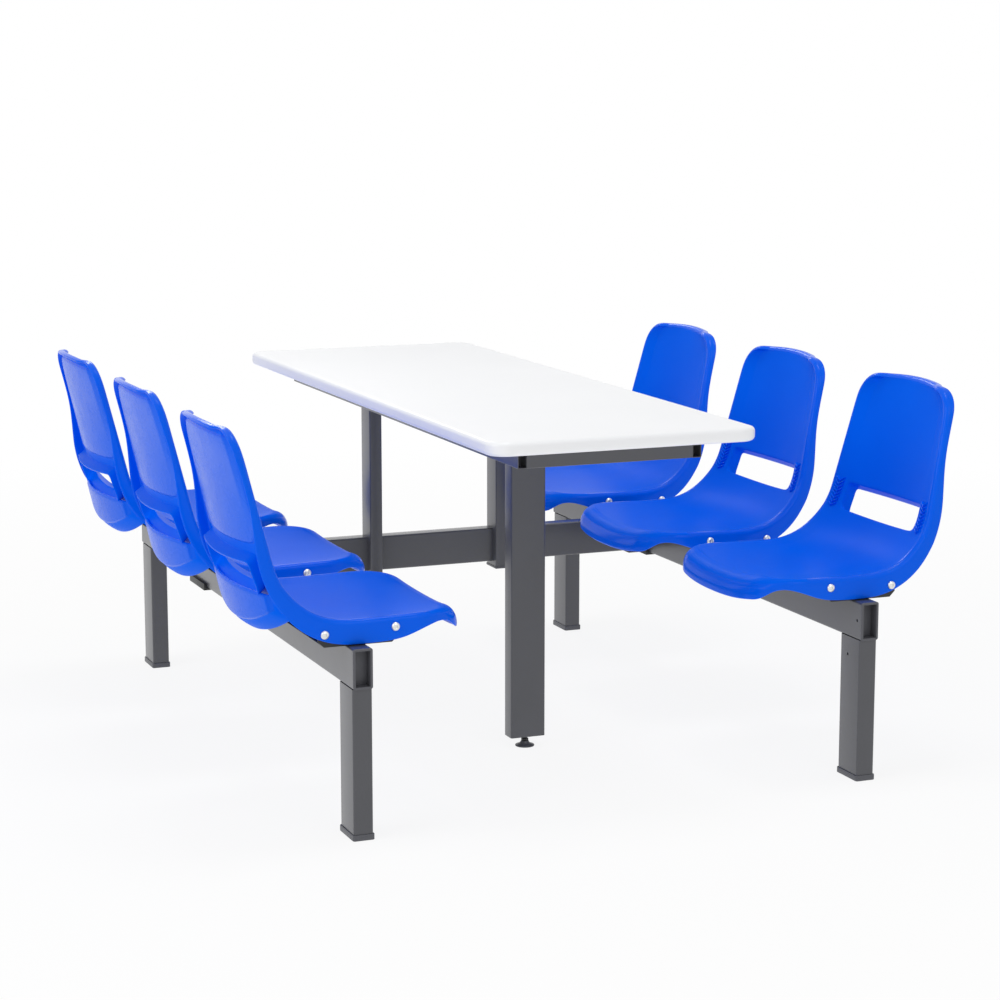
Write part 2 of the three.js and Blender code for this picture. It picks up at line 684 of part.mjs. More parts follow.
// Rear and front bolt: the front one sits higher
const boltPlaces = [BOLT_MIDDLE - BOLT_SPACING / 2, BOLT_MIDDLE + BOLT_SPACING / 2];
const boltHeights = [BOLT_HEIGHT, BOLT_HEIGHT + BOLT_RISE];

function boltHoles(length) {
  const radius = BOLT_RADIUS + CLEARANCE;
  return boltPlaces.map((x, place) => {
    const hole = new THREE.CylinderGeometry(radius, radius, length, BOLT_SEGMENTS);
    return hole.translate(x, 0, boltHeights[place]);
  });
}

// A tray on the beam with two upright flanges, its lower corners cut off
function seatBracket() {
  const side = new THREE.Shape();
  side.moveTo(BRACKET_REAR + BRACKET_REAR_CHAMFER, 0);
  side.lineTo(BRACKET_FRONT - BRACKET_FRONT_CHAMFER, 0);
  side.lineTo(BRACKET_FRONT, BRACKET_FRONT_CHAMFER);
  side.lineTo(BRACKET_FRONT, BRACKET_HEIGHT);
  side.lineTo(BRACKET_REAR, BRACKET_HEIGHT);
  side.lineTo(BRACKET_REAR, BRACKET_REAR_CHAMFER);
  side.closePath();
  const block = extrude(side, 2 * BRACKET_HALF_WIDTH).rotateX(Math.PI / 2);
  block.translate(0, BRACKET_HALF_WIDTH, 0);
  const inside = BRACKET_HALF_WIDTH - BRACKET_THICKNESS;
  const hollow = boxBetween(
    [2 * BRACKET_REAR, -inside, BRACKET_THICKNESS],
    [2 * BRACKET_FRONT, inside, 2 * BRACKET_HEIGHT],
  );
  return cut(block, hollow, ...boltHoles(3 * BRACKET_HALF_WIDTH));
}

// Two dome-head bolts screwed into one nut strip behind a bracket flange, heads towards +y
function boltPair(heights) {
  const headFace = SKIRT_HALF_WIDTH + CLEARANCE;
  const rear = NUT_STRIP_FACE - BRACKET_THICKNESS;
  const crown = BOLT_HEAD_HEIGHT - (BOLT_HEAD_HEIGHT - BOLT_HEAD_RIM) / 4;
  const profile = [
    [0, rear],
    [BOLT_RADIUS, rear],
    [BOLT_RADIUS, headFace],
    [BOLT_HEAD_RADIUS, headFace],
    [BOLT_HEAD_RADIUS, headFace + BOLT_HEAD_RIM],
    [BOLT_HEAD_RADIUS / 2, headFace + crown],
    [0, headFace + BOLT_HEAD_HEIGHT],
  ];
  const bolts = boltPlaces.map((x, place) => {
    return alongY(turned(profile, BOLT_SEGMENTS)).translate(x, 0, heights[place]);
  });
  const strip = boxBetween(
    [boltPlaces[0] - NUT_STRIP_MARGIN, rear, Math.min(...heights) - NUT_STRIP_HEIGHT / 2],
    [boltPlaces[1] + NUT_STRIP_MARGIN, NUT_STRIP_FACE, Math.max(...heights) + NUT_STRIP_HEIGHT / 2],
  );
  return join(strip, ...bolts);
}

function buildSeats() {
  const shell = seatShell();
  const bracket = seatBracket();
  const farBolts = boltPair(boltHeights);
  const turnedBolts = boltPair([...boltHeights].reverse());
  const nearBolts = turnedBolts.rotateZ(Math.PI).translate(2 * BOLT_MIDDLE, 0, 0);
  for (const [side, sideSign] of SIDES) {
    for (let place = 0; place < SEATS_PER_BENCH; place++) {
      const seat = new THREE.Group();
      const y = (place - (SEATS_PER_BENCH - 1) / 2) * SEAT_PITCH;
      seat.position.set((sideSign * BENCH_SPACING) / 2, y, BEAM_TOP);
      seat.rotation.z = sideSign > 0 ? Math.PI : 0;
      unit.add(seat);
      const number = place + 1;
      const [first, second] = sideSign > 0 ? [farBolts, nearBolts] : [nearBolts, farBolts];
      add(`${side}_seat_${number}`, shell.clone(), bluePlastic(), [0, 0, 0], seat);
      add(`${side}_bracket_${number}`, bracket.clone(), blackSteel(), [0, 0, 0], seat);
      add(`${side}_near_bolts_${number}`, first.clone(), zincSteel(), [0, 0, 0], seat);
      add(`${side}_far_bolts_${number}`, second.clone(), zincSteel(), [0, 0, 0], seat);
    }
  }
}

buildBenchFrame();
buildTable();
buildNearPost();
buildFarSupport();
buildSeats();

export default unit;
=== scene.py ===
# Six-seat canteen unit: a laminate table and two rows of moulded seats on one welded tube frame.
import math

import bpy
from mathutils import Matrix, Vector


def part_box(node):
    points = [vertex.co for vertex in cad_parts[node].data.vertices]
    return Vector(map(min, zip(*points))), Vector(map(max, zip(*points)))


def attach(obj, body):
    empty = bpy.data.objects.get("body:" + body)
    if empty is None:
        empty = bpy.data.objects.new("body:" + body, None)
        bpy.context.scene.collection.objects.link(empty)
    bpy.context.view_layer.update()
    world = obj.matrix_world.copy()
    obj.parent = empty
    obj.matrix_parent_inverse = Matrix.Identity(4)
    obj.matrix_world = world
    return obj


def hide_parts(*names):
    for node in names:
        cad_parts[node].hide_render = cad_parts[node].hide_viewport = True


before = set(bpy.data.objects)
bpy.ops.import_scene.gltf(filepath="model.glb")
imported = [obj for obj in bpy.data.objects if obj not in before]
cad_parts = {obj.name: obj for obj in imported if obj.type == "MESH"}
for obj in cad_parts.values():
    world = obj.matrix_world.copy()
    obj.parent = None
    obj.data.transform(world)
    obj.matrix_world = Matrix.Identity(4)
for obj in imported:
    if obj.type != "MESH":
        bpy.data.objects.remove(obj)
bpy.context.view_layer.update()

MM = 0.001
UNIT = "unit"
STEM = "stem"
PAD = "pad"
SIDES = (("left", -1), ("right", 1))
ENDS = (("near", -1), ("far", 1))
SEATS = (1, 2, 3)


# Camera, where the photograph was taken from

camera = bpy.data.objects.new("camera", bpy.data.cameras.new("camera"))
bpy.context.scene.collection.objects.link(camera)
camera.data.sensor_width = 36
camera.data.lens = 93.789
camera.data.clip_end = 200
camera.location = (-2.12323, -5.37940, 1.51923)
camera.rotation_euler = (math.radians(90 - 9.9994), 0, math.radians(-22.044))
bpy.context.scene.camera = camera


# Materials

def linear(code):
    """An sRGB hex colour as linear red, green, blue and alpha."""
    channels = [int(code[i:i + 2], 16) / 255 for i in (1, 3, 5)]
    return [c / 12.92 if c <= 0.04045 else ((c + 0.055) / 1.055) ** 2.4 for c in channels] + [1.0]


def add_node(tree, kind, settings=None, inputs=None):
    """Adds a node with its settings, and sets or links its inputs."""
    node = tree.nodes.new(kind)
    for name, value in (settings or {}).items():
        setattr(node, name, value)
    for name, value in (inputs or {}).items():
        if isinstance(value, bpy.types.NodeSocket):
            tree.links.new(value, node.inputs[name])
        else:
            node.inputs[name].default_value = value
    return node


def new_material(name):
    """An empty material, with its node tree and its output."""
    material = bpy.data.materials.new(name)
    material.use_nodes = True
    material.node_tree.nodes.clear()
    output = material.node_tree.nodes.new("ShaderNodeOutputMaterial")
    return material, material.node_tree, output


def moulded_finish(name, light, dark, rough, grain_mm, grain_depth, shine=0.5):
    """Moulded plastic: an even colour that drifts a little, and the tool's grain."""
    material, tree, output = new_material(name)
    place = add_node(tree, "ShaderNodeTexCoord").outputs["Object"]
    drift = add_node(tree, "ShaderNodeTexNoise", None,
                     {"Vector": place, "Scale": 1 / (160 * MM), "Detail": 3, "Roughness": 0.5})
    colour = add_node(tree, "ShaderNodeMix", {"data_type": "RGBA"},
                      {"Factor": drift.outputs["Fac"], "A": linear(dark), "B": linear(light)})
    grain = add_node(tree, "ShaderNodeTexNoise", None,
                     {"Vector": place, "Scale": 1 / (grain_mm * MM), "Detail": 2, "Roughness": 0.6})
    gloss = add_node(tree, "ShaderNodeMapRange", None,
                     {"Value": grain.outputs["Fac"], "From Min": 0.3, "From Max": 0.7,
                      "To Min": rough - 0.04, "To Max": rough + 0.05})
    shader = add_node(tree, "ShaderNodeBsdfPrincipled", None,
                      {"Base Color": colour.outputs["Result"], "Roughness": gloss.outputs["Result"],
                       "IOR": 1.49, "Specular IOR Level": shine})
    if grain_depth:
        bump = add_node(tree, "ShaderNodeBump", None,
                        {"Height": grain.outputs["Fac"], "Strength": 0.6, "Distance": grain_depth * MM})
        tree.links.new(bump.outputs["Normal"], shader.inputs["Normal"])
    tree.links.new(shader.outputs["BSDF"], output.inputs["Surface"])
    return material


def powder_coat(name, light, dark, rough, coat):
    """Powder coat on steel: satin, with the faint orange peel of baked powder."""
    material, tree, output = new_material(name)
    place = add_node(tree, "ShaderNodeTexCoord").outputs["Object"]
    drift = add_node(tree, "ShaderNodeTexNoise", None,
                     {"Vector": place, "Scale": 1 / (90 * MM), "Detail": 4, "Roughness": 0.6})
    colour = add_node(tree, "ShaderNodeMix", {"data_type": "RGBA"},
                      {"Factor": drift.outputs["Fac"], "A": linear(dark), "B": linear(light)})
    # The peel is about 1 mm across in life and is drawn at 3 mm so that it shows.
    peel = add_node(tree, "ShaderNodeTexNoise", None,
                    {"Vector": place, "Scale": 1 / (3 * MM), "Detail": 2, "Roughness": 0.5})
    gloss = add_node(tree, "ShaderNodeMapRange", None,
                     {"Value": drift.outputs["Fac"], "To Min": rough - 0.05, "To Max": rough + 0.06})
    bump = add_node(tree, "ShaderNodeBump", None,
                    {"Height": peel.outputs["Fac"], "Strength": 0.35, "Distance": 0.25 * MM})
    shader = add_node(tree, "ShaderNodeBsdfPrincipled", None,
                      {"Base Color": colour.outputs["Result"], "Roughness": gloss.outputs["Result"],
                       "Normal": bump.outputs["Normal"], "IOR": 1.5, "Coat Weight": coat,
                       "Coat Roughness": 0.2})
    tree.links.new(shader.outputs["BSDF"], output.inputs["Surface"])
    return material


def white_laminate():
    """High-pressure laminate: white, with a fine pebble that dulls its gloss."""
    material, tree, output = new_material("high_pressure_laminate")
    place = add_node(tree, "ShaderNodeTexCoord").outputs["Object"]
    drift = add_node(tree, "ShaderNodeTexNoise", None,
                     {"Vector": place, "Scale": 1 / (240 * MM), "Detail": 3, "Roughness": 0.5})
    colour = add_node(tree, "ShaderNodeMix", {"data_type": "RGBA"},
                      {"Factor": drift.outputs["Fac"], "A": linear("#F3F4F6"), "B": linear("#F8F9FB")})
    # The pebble is about 1 mm across in life and is drawn at 2.5 mm so that it shows.
    pebble = add_node(tree, "ShaderNodeTexVoronoi", {"feature": "SMOOTH_F1"},
                      {"Vector": place, "Scale": 1 / (2.5 * MM), "Smoothness": 0.6})
    gloss = add_node(tree, "ShaderNodeMapRange", None,
                     {"Value": pebble.outputs["Distance"], "To Min": 0.28, "To Max": 0.36})
    bump = add_node(tree, "ShaderNodeBump", None,
                    {"Height": pebble.outputs["Distance"], "Strength": 0.2, "Distance": 0.1 * MM})
    shader = add_node(tree, "ShaderNodeBsdfPrincipled", None,
                      {"Base Color": colour.outputs["Result"], "Roughness": gloss.outputs["Result"],
                       "Normal": bump.outputs["Normal"], "IOR": 1.5})
    tree.links.new(shader.outputs["BSDF"], output.inputs["Surface"])
    return material


def zinc_plate():
    """Bright zinc plate on steel: a pale metal with a soft, cloudy shine."""
    material, tree, output = new_material("zinc_plated_steel")
    place = add_node(tree, "ShaderNodeTexCoord").outputs["Object"]
    cloud = add_node(tree, "ShaderNodeTexNoise", None,
                     {"Vector": place, "Scale": 1 / (5 * MM), "Detail": 3, "Roughness": 0.6})
    colour = add_node(tree, "ShaderNodeMix", {"data_type": "RGBA"},
                      {"Factor": cloud.outputs["Fac"], "A": linear("#D2D5D8"), "B": linear("#F2F1EC")})
    gloss = add_node(tree, "ShaderNodeMapRange", None,
                     {"Value": cloud.outputs["Fac"], "To Min": 0.22, "To Max": 0.38})
    shader = add_node(tree, "ShaderNodeBsdfPrincipled", None,
                      {"Base Color": colour.outputs["Result"], "Roughness": gloss.outputs["Result"],
                       "Metallic": 0.85})
    tree.links.new(shader.outputs["BSDF"], output.inputs["Surface"])
    return material


# Polypropylene from a grained tool: the sitting side is a deep, even blue, because a grain of about
# 0.8 mm, drawn at 2 mm, breaks up its shine.
SEAT_FRONT = moulded_finish("grained_polypropylene", "#0067F5", "#005FED", 0.36, 2.0, 0.25, shine=0.016)
# The same plastic on the turned edges, where the tool is smoother: satin, with a soft line of light.
SEAT_EDGE = moulded_finish("satin_polypropylene", "#0064F5", "#005BEB", 0.17, 30.0, 0, shine=0.1)
# The same plastic behind the back, where the tool is polished: it mirrors the pale room softly.
SEAT_REAR = moulded_finish("polished_polypropylene", "#0363F0", "#015BE6", 0.26, 30.0, 0, shine=0.1)
# Polyamide: dark caps with a fine spark-eroded texture of about 0.6 mm drawn at 1.5 mm.
BLACK_PLASTIC = moulded_finish("spark_eroded_polyamide", "#56575D", "#4C4D53", 0.4, 1.5, 0.15)
# Grey powder on the tubes: dark face on, and paler where the eye meets it at a low angle.
GREY_STEEL = powder_coat("grey_powder_coat", "#47484E", "#404146", 0.35, 0.5)
# Black powder on the pressed steel: satin.
BLACK_STEEL = powder_coat("black_powder_coat", "#1B1C1F", "#141517", 0.45, 0.0)
LAMINATE = white_laminate()
ZINC = zinc_plate()


# Modelling helpers

def deselect_all():
    if bpy.context.mode != "OBJECT":
        bpy.ops.object.mode_set(mode="OBJECT")
    bpy.ops.object.select_all(action="DESELECT")


def activate(piece):
    deselect_all()
    piece.select_set(True)
    bpy.context.view_layer.objects.active = piece


def start_block(name, low, high):
    """A block between two corners, with its place in its mesh."""
    deselect_all()
    middle = [(a + b) / 2 for a, b in zip(low, high)]
    bpy.ops.mesh.primitive_cube_add(size=1, location=middle)
    piece = bpy.context.object
    piece.name = piece.data.name = name
    piece.scale = [b - a for a, b in zip(low, high)]
    bpy.ops.object.transform_apply(location=True, rotation=True, scale=True)
    return piece


def start_rod(name, radius, low, high, centre, vertices):
    """An upright rod between two heights, with its place in its mesh."""
    deselect_all()
    bpy.ops.mesh.primitive_cylinder_add(vertices=vertices, radius=radius, depth=high - low,
                                        location=(centre[0], centre[1], (low + high) / 2))
    piece = bpy.context.object
    piece.name = piece.data.name = name
    bpy.ops.object.transform_apply(location=True, rotation=True, scale=True)
    return piece


def start_mesh(name, points, faces):
    mesh = bpy.data.meshes.new(name)
    mesh.from_pydata([tuple(p) for p in points], [], faces)
    piece = bpy.data.objects.new(name, mesh)
    bpy.context.scene.collection.objects.link(piece)
    return piece


def pick(piece, kind, test):
    """Selects, in edit mode, the edges or faces that a test of their place accepts."""
    activate(piece)
    bpy.ops.object.mode_set(mode="EDIT")
    bpy.ops.mesh.select_mode(type=kind)
    bpy.ops.mesh.select_all(action="DESELECT")
    bpy.ops.object.mode_set(mode="OBJECT")
    mesh = piece.data
    if kind == "EDGE":
        for edge in mesh.edges:
            edge.select = test(*(mesh.vertices[i].co for i in edge.vertices))
    else:
        for face in mesh.polygons:
            face.select = test(face.center, face.normal)
    bpy.ops.object.mode_set(mode="EDIT")


def pick_places(piece, places):
    """Selects, in edit mode, the faces at given places in the list."""
    pick(piece, "FACE", lambda centre, normal: False)
    bpy.ops.object.mode_set(mode="OBJECT")
    for face in piece.data.polygons:
        face.select = face.index in places
    bpy.ops.object.mode_set(mode="EDIT")


def apply_modifier(piece, kind, **settings):
    activate(piece)
    bpy.ops.object.modifier_add(type=kind)
    modifier = piece.modifiers[-1]
    for name, value in settings.items():
        setattr(modifier, name, value)
    bpy.ops.object.modifier_apply(modifier=modifier.name)


def copy_piece(piece, name, matrix):
    twin = piece.copy()
    twin.data = piece.data.copy()
    twin.name = twin.data.name = name
    twin.data.transform(matrix)
    bpy.context.scene.collection.objects.link(twin)
    return twin


def join_pieces(first, *others):
    activate(first)
    for other in others:
        other.select_set(True)
    bpy.ops.object.join()
    return first


def settle(piece, materials, slot, *nodes, body=UNIT, angle=35):
    """Shades a finished piece, gives it its materials, ties it to its body and hides the nodes it stands
    in for.
    """
    activate(piece)
    bpy.ops.object.shade_smooth_by_angle(angle=math.radians(angle))
    for place, material in enumerate(materials):
        if place < len(piece.data.materials):
            piece.data.materials[place] = material
        else:
            piece.data.materials.append(material)
    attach(piece, body)
    if nodes:
        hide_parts(*nodes)


def along(axis, limit=0.999):
    """A test for edges that run along an axis."""
    def test(start, end):
        line = end - start
        return abs(line[axis]) > limit * line.length
    return test


# Steel tubes, with the places of their screw holes in millimetres

HOLE_FACE = 532.0
BEAM_HOLE_REACH, BEAM_HOLE_HEIGHT = 787.0, 340.0
LEG_HOLE_REACH, LEG_HOLE_HEIGHT = 751.0, 262.0


def square_tube(node, axis, corner=4.5, wall=2.0, mouth=30.0, holes=()):
    """A tube in a node's box, with rounded corners and open ends."""
    low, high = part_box(node)
    tube = start_block("tube_" + node, low, high)
    pick(tube, "EDGE", along(axis))
    bpy.ops.mesh.bevel(offset=corner * MM, segments=6, affect="EDGES")
    pick(tube, "FACE", lambda centre, normal: abs(normal[axis]) > 0.99)
    bpy.ops.mesh.inset(thickness=wall * MM)
    bpy.ops.mesh.inset(thickness=0.01 * MM, depth=-mouth * MM)
    bpy.ops.object.mode_set(mode="OBJECT")
    for place in holes:
        drill(tube, Vector(place) * MM)
    settle(tube, [GREY_STEEL], "grey_steel", node)
    return tube


def cut(piece, cutter):
    apply_modifier(piece, "BOOLEAN", object=cutter, operation="DIFFERENCE", solver="EXACT")
    bpy.data.objects.remove(cutter)


def drill(piece, place, depth=6.0, radius=3.2):
    """A blind hole into a piece, along x."""
    cutter = start_rod("drill", radius * MM, -depth * MM, depth * MM, (0, 0), 20)
    cutter.data.transform(Matrix.Translation(place) @ Matrix.Rotation(math.pi / 2, 4, "Y"))
    cut(piece, cutter)


def build_tubes():
    for side, sign in SIDES:
        face = sign * HOLE_FACE
        beam_holes = [(face, way * BEAM_HOLE_REACH, BEAM_HOLE_HEIGHT) for _, way in ENDS]
        square_tube(side + "_beam", 1, holes=beam_holes)
        square_tube(side + "_post", 2, corner=3.5)
        square_tube(side + "_stretcher", 0)
        square_tube(side + "_rail", 1, corner=2.0, wall=1.5)
        for end, way in ENDS:
            square_tube(f"{side}_{end}_leg", 2, holes=[(face, way * LEG_HOLE_REACH, LEG_HOLE_HEIGHT)])
    square_tube("middle_stretcher", 0)
    square_tube("near_post", 2)
    for node in ("near_end_rail", "near_post_rail", "far_post_rail", "far_end_rail"):
        square_tube(node, 0, corner=2.0, wall=1.5)


# Plastic caps, with the beam cap's measures in millimetres

CAP_CORNER = 4.5
CAP_PLUG_DEPTH = 22.0
CAP_RIM = 5.0
CAP_RECESS_DEPTH = 19.0
CAP_RISE = 1.0
CAP_CLEARANCE = 5.0


def beam_cap(side, end, sign):
    """A cap that closes a beam: a thin flange with a deep recess inside its rim."""
    node = f"{side}_{end}_beam_cap"
    low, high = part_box(node)
    beam_low, beam_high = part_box(side + "_beam")
    face = beam_high[1] if sign > 0 else beam_low[1]
    low, high = list(low), list(high)
    if sign > 0:
        low[1] = face
    else:
        high[1] = face
    cap = start_block("cap_" + node, low, high)
    pick(cap, "EDGE", along(1))
    bpy.ops.mesh.bevel(offset=CAP_CORNER * MM, segments=6, affect="EDGES")
    pick(cap, "FACE", lambda centre, normal: normal[1] * sign > 0.99)
    bpy.ops.mesh.inset(thickness=1.2 * MM, depth=CAP_RISE * MM)
    pick(cap, "FACE", lambda centre, normal: normal[1] * sign < -0.99)
    bpy.ops.mesh.inset(thickness=2.4 * MM)
    bpy.ops.mesh.inset(thickness=0.1 * MM, depth=CAP_PLUG_DEPTH * MM)
    bpy.ops.object.mode_set(mode="OBJECT")
    rim = CAP_RIM * MM
    front = max(low[1] * sign, high[1] * sign)
    outside = front + CAP_CLEARANCE * MM
    ends = sorted((sign * outside, face - sign * CAP_RECESS_DEPTH * MM))
    recess_low = (low[0] + rim, ends[0], low[2] + rim)
    recess_high = (high[0] - rim, ends[1], high[2] - rim)
    cut(cap, start_block("recess", recess_low, recess_high))
    mouth = front + 0.9 * CAP_RISE * MM
    pick(cap, "EDGE", lambda a, b: min(a[1] * sign, b[1] * sign) > mouth)
    bpy.ops.mesh.bevel(offset=0.5 * MM, segments=2, affect="EDGES")
    bpy.ops.object.mode_set(mode="OBJECT")
    settle(cap, [BLACK_PLASTIC], "black_plastic", node)


def foot_cap(node):
    """A foot: a shallow cup round the end of a leg, with its edges rounded."""
    low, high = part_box(node)
    foot = start_block("cup_" + node, low, high)
    pick(foot, "EDGE", along(2))
    bpy.ops.mesh.bevel(offset=5 * MM, segments=6, affect="EDGES")
    rims = (low[2], high[2])
    pick(foot, "EDGE", lambda a, b: any(abs(a[2] - z) + abs(b[2] - z) < 1e-5 for z in rims))
    bpy.ops.mesh.bevel(offset=1.0 * MM, segments=3, affect="EDGES")
    pick(foot, "FACE", lambda centre, normal: normal[2] > 0.99)
    bpy.ops.mesh.inset(thickness=1.1 * MM)
    bpy.ops.mesh.inset(thickness=0.1 * MM, depth=-6.9 * MM)
    bpy.ops.object.mode_set(mode="OBJECT")
    settle(foot, [BLACK_PLASTIC], "black_plastic", node)


def post_cap(node):
    low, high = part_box(node)
    rim = Vector((1.2, 1.2, 0)) * MM
    cap = start_block("plate_" + node, Vector(low) - rim, Vector(high) + rim)
    pick(cap, "EDGE", along(2))
    bpy.ops.mesh.bevel(offset=3.5 * MM, segments=5, affect="EDGES")
    pick(cap, "EDGE", lambda a, b: abs(a[2] - low[2]) + abs(b[2] - low[2]) < 1e-5)
    bpy.ops.mesh.bevel(offset=1.5 * MM, segments=3, affect="EDGES")
    bpy.ops.object.mode_set(mode="OBJECT")
    settle(cap, [BLACK_PLASTIC], "black_plastic", node)


def build_caps():
    for side, _ in SIDES:
        post_cap(side + "_post_cap")
        for end, sign in ENDS:
            beam_cap(side, end, sign)
            foot_cap(f"{side}_{end}_foot")


# Table top

def build_table_top():
    """A board with rounded corners and a soft rounded edge all round."""
    low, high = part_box("table_top")
    top = start_block("board_table_top", low, high)
    pick(top, "EDGE", along(2))
    bpy.ops.mesh.bevel(offset=42 * MM, segments=16, affect="EDGES")
    faces = (low[2], high[2])
    pick(top, "EDGE", lambda a, b: any(abs(a[2] - z) + abs(b[2] - z) < 1e-5 for z in faces))
    bpy.ops.mesh.bevel(offset=9 * MM, segments=6, affect="EDGES")
    bpy.ops.object.mode_set(mode="OBJECT")
    settle(top, [LAMINATE], "white_laminate", "table_top")


# Moulded seat, in millimetres in its own frame: s towards the table, w across, z up.
# Shares are of the half width, from the middle to the edge.

SEAT_REACH = 552.0
SEAT_PITCH = 552.0
PAN_HEIGHT = 430.0
PAN_TILT = math.radians(1)
PAN_LENGTH = 325.0
SEAT_CORNER = 133.0
BEND_RADIUS = 150.0
BACK_RECLINE = math.radians(13)
BACK_LENGTH = 380.0
PAN_HALF_WIDTH = 211.0
TOP_HALF_WIDTH = 174.0
FRONT_CORNER = 60.0
FRONT_BOW = 8.0
TOP_CROWN = 9.0
TOP_CROWN_FALL = 4.0
TOP_CORNER = 52.0
PAN_DISH = 11.0
BACK_DISH = 20.0
DISH_RUN = 120.0
FRONT_DISH_SHARE = 0.9
DISH_POWER = 2.5
WING_START = 0.79
WING_SHARE = 0.4
SHELL_THICKNESS = 4.5
EDGE_RADIUS = 11.0
FRONT_EDGE_RADIUS = 38.0
FRONT_LIP_DEPTH = 49.0
NOTCH_RUN = 15.0
NOTCH_DEPTH = 20.0
SKIRT_RUN = 118.0
SKIRT_DEPTH = 49.0
BACK_FLANGE_DEPTH = 30.0
TOP_LIP_DEPTH = 19.0
TOP_FLARE = 4.0
WAIST_DROP = 120.0
BACK_FLANGE_WAIST = 16.0
SLOT_LOW = 122.5 + 380.0
SLOT_HIGH = 177.5 + 380.0
SLOT_SHARE = 0.76
SLOT_SWELL = 14.0
SLOT_ROLL = (3.0, 8.0, 8.0, 3.0)
SLOT_FALL = (3.0, 14.0, 24.0, 28.0)
PANEL_DROP = 22.0
PANEL_SHARE = 0.92
PANEL_TOP_ROWS = 3
FRONT_ROWS = 5
SEAT_MATERIALS = (SEAT_FRONT, SEAT_EDGE, SEAT_REAR)
WING_RUN = 0.82
COLUMNS = (0, 0.19, 0.38, 0.56, 0.69, SLOT_SHARE, WING_START, WING_RUN, PANEL_SHARE, 1)
APRON_HALF = 184.0
APRON_TOP = 484.0
APRON_REAR = -192.0
APRON_BOW = 28.0
APRON_LEAN = 0.235
APRON_LEAN_FROM = 500.0
APRON_CREASE = 408.0
APRON_CREASE_RISE = 44.0
APRON_BORDER = 21.0
APRON_TUCK = 24.0
APRON_RIM_SHARE = 0.875
APRON_RIM_ROW = 0.75
RIB_COUNT = 8
RIB_PITCH = 8.2
RIB_START = 6.0
RIB_ARM = 13.0
RIB_FALL = 8.0
RIB_SHARE = 0.89
RIB_SECTION = ((-2.7, -1.0), (-0.6, 4.2), (0.6, 4.2), (2.7, -1.0))

PAN_WAY = (math.cos(PAN_TILT), math.sin(PAN_TILT))
BACK_WAY = (-math.sin(BACK_RECLINE), math.cos(BACK_RECLINE))
CORNER = (-SEAT_CORNER, PAN_HEIGHT - SEAT_CORNER * math.tan(PAN_TILT))
BEND_TURN = math.pi - (math.pi / 2 + BACK_RECLINE - PAN_TILT)
TANGENT = BEND_RADIUS / math.tan((math.pi / 2 + BACK_RECLINE - PAN_TILT) / 2)
BEND_FROM = PAN_LENGTH - TANGENT
BEND_TO = BEND_FROM + BEND_RADIUS * BEND_TURN
LINE_LENGTH = BEND_TO + BACK_LENGTH - TANGENT
SLOT_LEVEL = BEND_TO + 20.0


def step_between(value, start, end, first, last):
    """A smooth step from first to last as a value goes from start to end."""
    share = min(max((value - start) / (end - start), 0.0), 1.0)
    share = share * share * (3 - 2 * share)
    return first + (last - first) * share


def edge_line(distance):
    """The seat's edge in side view: its place and its direction, from the front to the top."""
    if distance <= BEND_FROM:
        reach = PAN_LENGTH - distance
        return (CORNER[0] + reach * PAN_WAY[0], CORNER[1] + reach * PAN_WAY[1]), (-PAN_WAY[0], -PAN_WAY[1])
    if distance >= BEND_TO:
        reach = distance - BEND_TO + TANGENT
        return (CORNER[0] + reach * BACK_WAY[0], CORNER[1] + reach * BACK_WAY[1]), BACK_WAY
    turn = (distance - BEND_FROM) / BEND_RADIUS
    start = (CORNER[0] + TANGENT * PAN_WAY[0], CORNER[1] + TANGENT * PAN_WAY[1])
    centre = (start[0] - BEND_RADIUS * PAN_WAY[1], start[1] + BEND_RADIUS * PAN_WAY[0])
    angle = PAN_TILT - math.pi / 2 - turn
    place = (centre[0] + BEND_RADIUS * math.cos(angle), centre[1] + BEND_RADIUS * math.sin(angle))
    return place, (math.sin(angle), -math.cos(angle))


def face_half_width(distance):
    middle = (BEND_FROM + BEND_TO) / 2
    share = min(max((distance - middle) / (LINE_LENGTH - middle), 0.0), 1.0)
    return PAN_HALF_WIDTH + (TOP_HALF_WIDTH - PAN_HALF_WIDTH) * share


def face_dish(distance):
    depth = step_between(distance, (BEND_FROM + BEND_TO) / 2, LINE_LENGTH, PAN_DISH, BACK_DISH)
    return depth * step_between(distance, 0, DISH_RUN, FRONT_DISH_SHARE, 1)


def hollow(distance, across):
    """The share of the dish at a place across: round on the pan, a flat panel with wings on the back."""
    reach = abs(across)
    pan = 1 - reach ** DISH_POWER
    if reach < WING_START:
        back = 1 - WING_SHARE * (reach / WING_START) ** 2
    else:
        back = (1 - WING_SHARE) * (1 - (reach - WING_START) / (1 - WING_START))
    return step_between(distance, BEND_FROM - 40, BEND_FROM + 90, pan, back)


def edge_depth(distance):
    waist = LINE_LENGTH - WAIST_DROP
    if distance < NOTCH_RUN:
        return step_between(distance, 0, NOTCH_RUN, FRONT_LIP_DEPTH, NOTCH_DEPTH)
    if distance < BEND_FROM:
        return step_between(distance, NOTCH_RUN, SKIRT_RUN, NOTCH_DEPTH, SKIRT_DEPTH)
    if distance < BEND_TO:
        return step_between(distance, BEND_FROM, BEND_TO, SKIRT_DEPTH, BACK_FLANGE_DEPTH)
    if distance < waist:
        return step_between(distance, BEND_TO, waist, BACK_FLANGE_DEPTH, BACK_FLANGE_WAIST)
    return step_between(distance, waist, LINE_LENGTH, BACK_FLANGE_WAIST, TOP_LIP_DEPTH)


